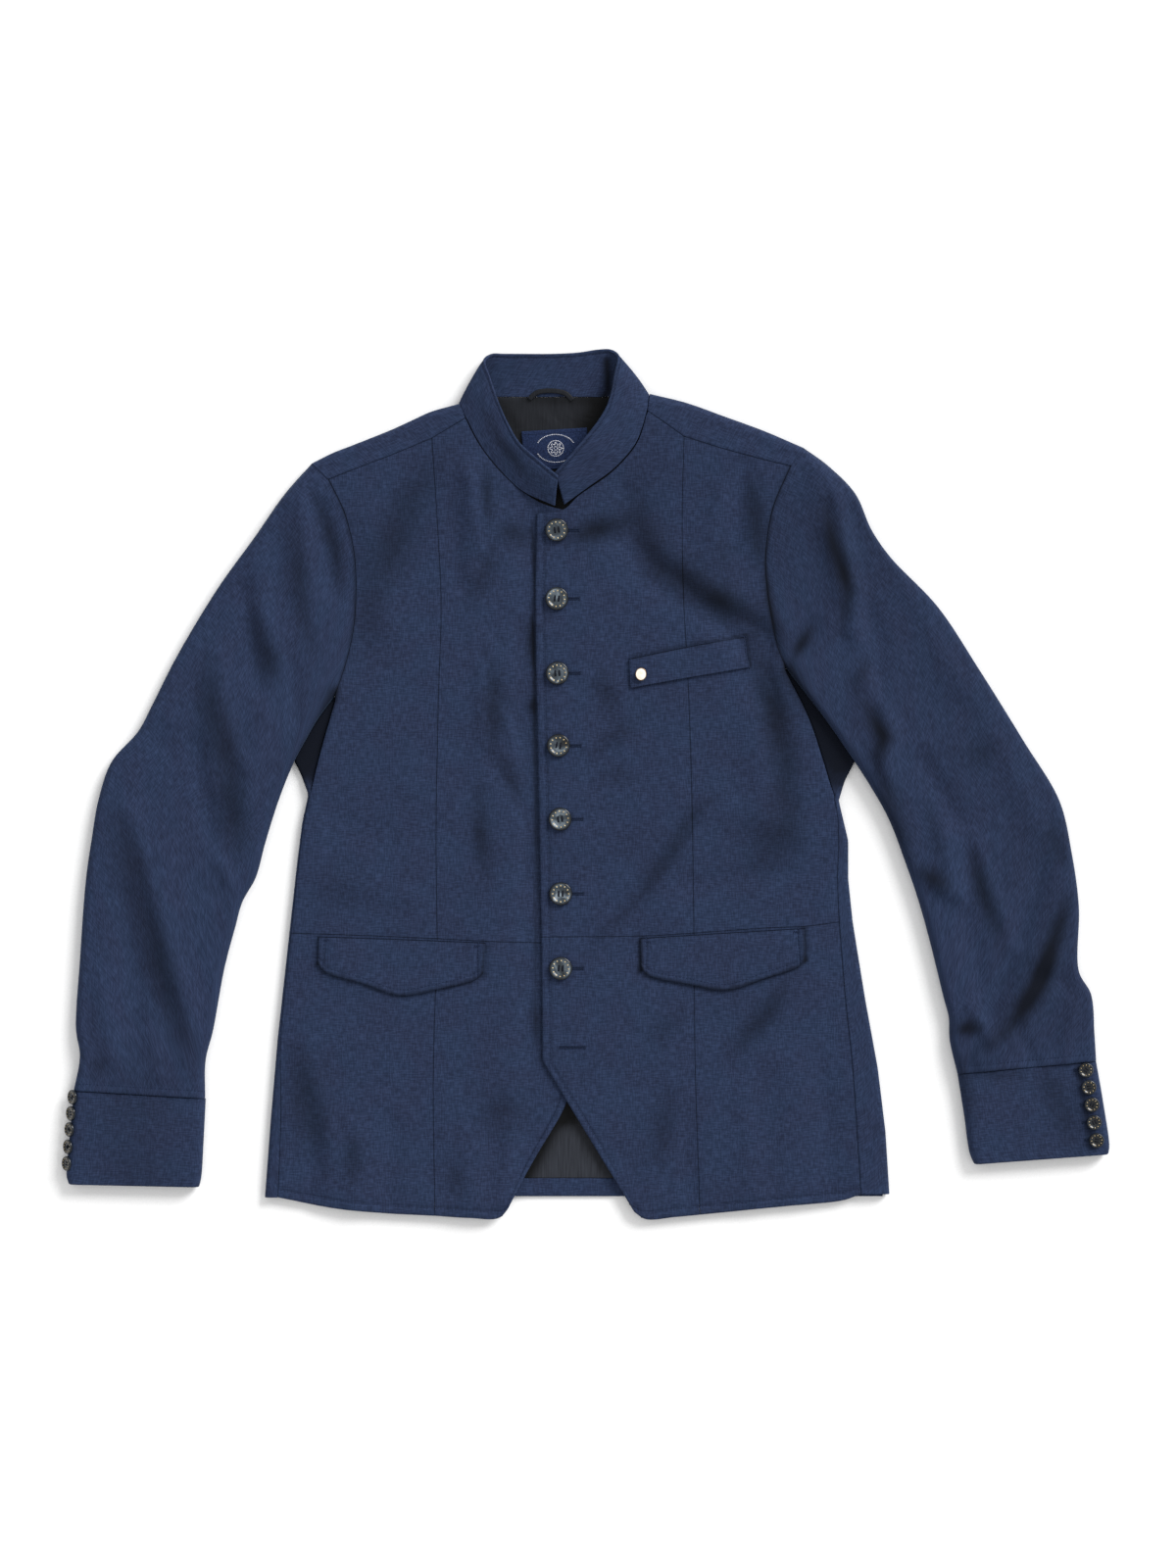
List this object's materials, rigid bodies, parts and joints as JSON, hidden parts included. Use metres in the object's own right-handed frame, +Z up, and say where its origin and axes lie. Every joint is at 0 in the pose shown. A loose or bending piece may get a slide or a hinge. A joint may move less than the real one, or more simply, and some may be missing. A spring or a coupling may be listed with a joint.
{
  "type": "blazer",
  "caption": "Navy stand-collar blazer laid flat on its back, front buttoned, sleeves spread and slightly bent.",
  "frame": {"origin": "middle of the garment's box in plan, on the floor that the garment lies on", "axes": "+Z up from the floor, +Y towards the collar, +X towards the wearer's left sleeve"},
  "size_m": [0.9406, 0.7826, 0.0223],
  "materials": {
    "navy_wool": "navy melange wool, dry and fine",
    "lining": "charcoal lining with a soft sheen",
    "horn_button": "dark horn look, polished, pale ticks round the rim",
    "label_cloth": "dark blue woven label with a plain woven border",
    "enamel": "ivory enamel"
  },
  "bodies": {
    "root": {"front_right_side": "navy_wool", "front_right_centre": "navy_wool", "front_right_side_skirt": "navy_wool", "front_right_centre_skirt": "navy_wool", "front_left_side": "navy_wool", "front_left_centre": "navy_wool", "front_left_side_skirt": "navy_wool", "front_left_centre_skirt": "navy_wool", "back": "navy_wool", "lining_back": "lining", "hem_facing_back": "navy_wool", "sleeve_right_upper": "navy_wool", "sleeve_right_under": "navy_wool", "cuff_right": "navy_wool", "button_cuff_right_1": "horn_button", "button_cuff_right_2": "horn_button", "button_cuff_right_3": "horn_button", "button_cuff_right_4": "horn_button", "button_cuff_right_5": "horn_button", "sleeve_left_upper": "navy_wool", "sleeve_left_under": "navy_wool", "cuff_left": "navy_wool", "button_cuff_left_1": "horn_button", "button_cuff_left_2": "horn_button", "button_cuff_left_3": "horn_button", "button_cuff_left_4": "horn_button", "button_cuff_left_5": "horn_button", "collar": "navy_wool", "flap_right": "navy_wool", "flap_left": "navy_wool", "welt_breast": "navy_wool", "hanger_loop": "lining", "neck_label": "label_cloth", "welt_pin": "enamel", "button_front_1": "horn_button", "button_front_2": "horn_button", "button_front_3": "horn_button", "button_front_4": "horn_button", "button_front_5": "horn_button", "button_front_6": "horn_button", "button_front_7": "horn_button"}
  },
  "joints": []
}
